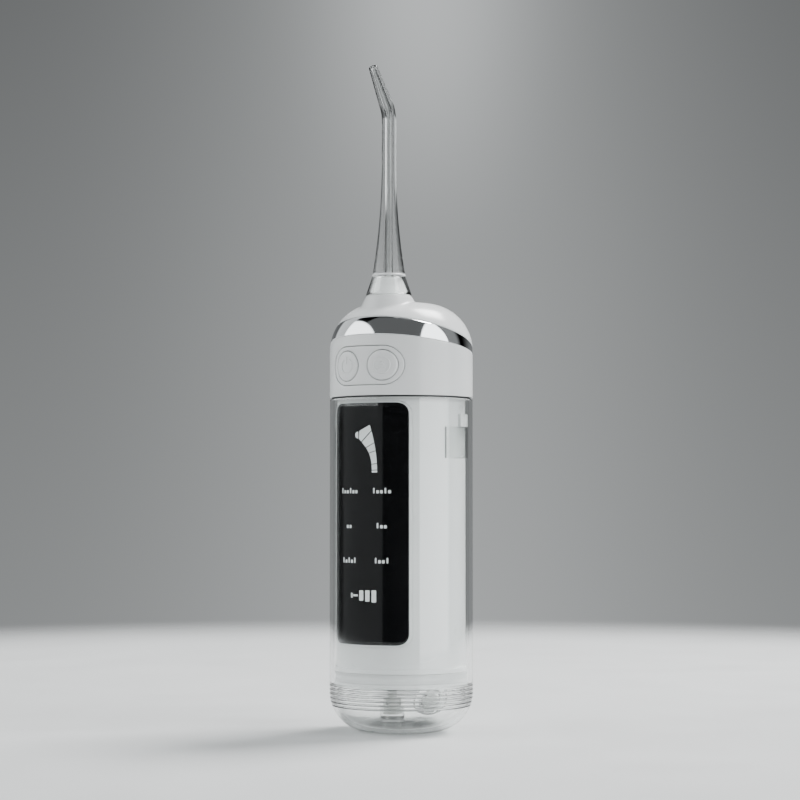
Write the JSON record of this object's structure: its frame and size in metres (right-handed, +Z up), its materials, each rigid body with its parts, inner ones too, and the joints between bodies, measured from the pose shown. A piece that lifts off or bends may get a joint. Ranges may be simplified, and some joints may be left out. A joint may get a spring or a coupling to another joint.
{
  "type": "water flosser",
  "caption": "Capsule-shaped cordless water flosser: white head with chrome band and two buttons, black display strip, clear pull-down tank and slender angled clear nozzle.",
  "frame": {"origin": "centre of the flat bottom of the tank, on the body axis, with the tank pushed up", "axes": "+Z up along the body towards the nozzle, -Y towards the display and buttons, +X to the right as seen from the front"},
  "size_m": [0.046, 0.0462, 0.2122],
  "materials": {
    "clear_shell": "clear polished",
    "clear_nozzle": "clear polished",
    "light_guide": "diffuse",
    "white_gloss": "glossy white",
    "black_window": "high gloss black",
    "bright_trim": "mirror plated",
    "slick_plastic": "moulded, natural",
    "silicone": "soft matt",
    "black_rubber": "soft matt",
    "hose": "translucent soft",
    "board": "solder mask",
    "led": "clear lens",
    "switch": "moulded",
    "cell": "shrink wrapped",
    "steel": "drawn",
    "brass": "machined"
  },
  "bodies": {
    "handle": {"battery_cell": "cell", "battery_tabs": "steel", "button_membrane": "silicone", "button_plate": "white_gloss", "charging_board": "board", "charging_socket": "steel", "chassis": "slick_plastic", "display_bezel": "white_gloss", "display_leds": "led", "display_window": "black_window", "gear_axle": "steel", "gear_frame": "steel", "head_band": "white_gloss", "head_cap": "white_gloss", "head_seal": "black_rubber", "housing_floor": "white_gloss", "inlet_hose": "hose", "inlet_valve": "silicone", "inner_housing": "white_gloss", "light_guide": "light_guide", "main_board": "board", "mode_switch": "switch", "motor_can": "steel", "motor_cap": "slick_plastic", "motor_screws": "steel", "nozzle_bearing": "slick_plastic", "outlet_hose": "hose", "outlet_manifold": "slick_plastic", "outlet_valve": "silicone", "piston_seal": "silicone", "power_switch": "switch", "pump_cylinder": "slick_plastic", "pump_head": "slick_plastic", "release_spring": "steel", "suction_gland": "slick_plastic", "suction_guide": "slick_plastic", "suction_seal": "silicone", "trim_ring": "bright_trim"},
    "tank": {"tank_sleeve": "clear_shell", "guide_bush": "clear_shell", "suction_pipe": "hose", "suction_foot": "slick_plastic"},
    "filling_plug": {"fill_plug": "silicone"},
    "swivel": {"swivel_seat": "white_gloss"},
    "nozzle": {"nozzle_tube": "clear_nozzle", "nozzle_ring": "white_gloss", "nozzle_seal": "silicone"},
    "power_key": {"power_button": "white_gloss"},
    "mode_key": {"mode_button": "white_gloss"},
    "release": {"release_button": "white_gloss", "nozzle_catch": "slick_plastic"},
    "port_cover": {"charging_cover": "silicone"},
    "rotor": {"motor_shaft": "steel", "pinion": "brass"},
    "wheel": {"drive_gear": "slick_plastic", "crank_pin": "steel"},
    "plunger": {"piston_yoke": "slick_plastic", "piston": "slick_plastic"}
  },
  "joints": [
    {"name": "tank_slide", "type": "slide", "parent": "handle", "child": "tank", "axis": [0, 0, -1], "range_m": [0, 0.064]},
    {"name": "filling_plug_open", "type": "hinge", "parent": "tank", "child": "filling_plug", "pos_m": [0, 0.02259, 0.01138], "axis": [1, 0, 0], "range_deg": [0, 80]},
    {"name": "nozzle_turn", "type": "hinge", "parent": "handle", "child": "swivel", "pos_m": [0, -0.0075, 0.1388], "axis": [0, 0, 1], "continuous": true},
    {"name": "nozzle_pull", "type": "slide", "parent": "swivel", "child": "nozzle", "axis": [0, 0, 1], "range_m": [0, 0.03]},
    {"name": "power_press", "type": "slide", "parent": "handle", "child": "power_key", "axis": [0, 1, 0], "range_m": [0, 0.0006], "stiffness_N_per_m": 1500},
    {"name": "mode_press", "type": "slide", "parent": "handle", "child": "mode_key", "axis": [0, 1, 0], "range_m": [0, 0.0006], "stiffness_N_per_m": 1500},
    {"name": "release_press", "type": "slide", "parent": "handle", "child": "release", "axis": [0, -1, 0], "range_m": [0, 0.0016], "stiffness_N_per_m": 600, "deforming": ["release_spring"]},
    {"name": "port_cover_open", "type": "hinge", "parent": "handle", "child": "port_cover", "pos_m": [0, 0.02215, 0.1165], "axis": [1, 0, 0], "range_deg": [0, 100]},
    {"name": "wheel_spin", "type": "hinge", "parent": "handle", "child": "wheel", "pos_m": [0.013, -0.002, 0.094], "axis": [1, 0, 0], "continuous": true},
    {"name": "rotor_spin", "type": "hinge", "parent": "handle", "child": "rotor", "pos_m": [0.013, -0.002, 0.082], "axis": [1, 0, 0], "continuous": true},
    {"name": "plunger_stroke", "type": "slide", "parent": "handle", "child": "plunger", "axis": [0, 0, 1], "range_m": [-0.0015, 0.0015]}
  ],
  "couplings": [
    {"joint": "rotor_spin", "follows": "wheel_spin", "ratio": -3}
  ]
}
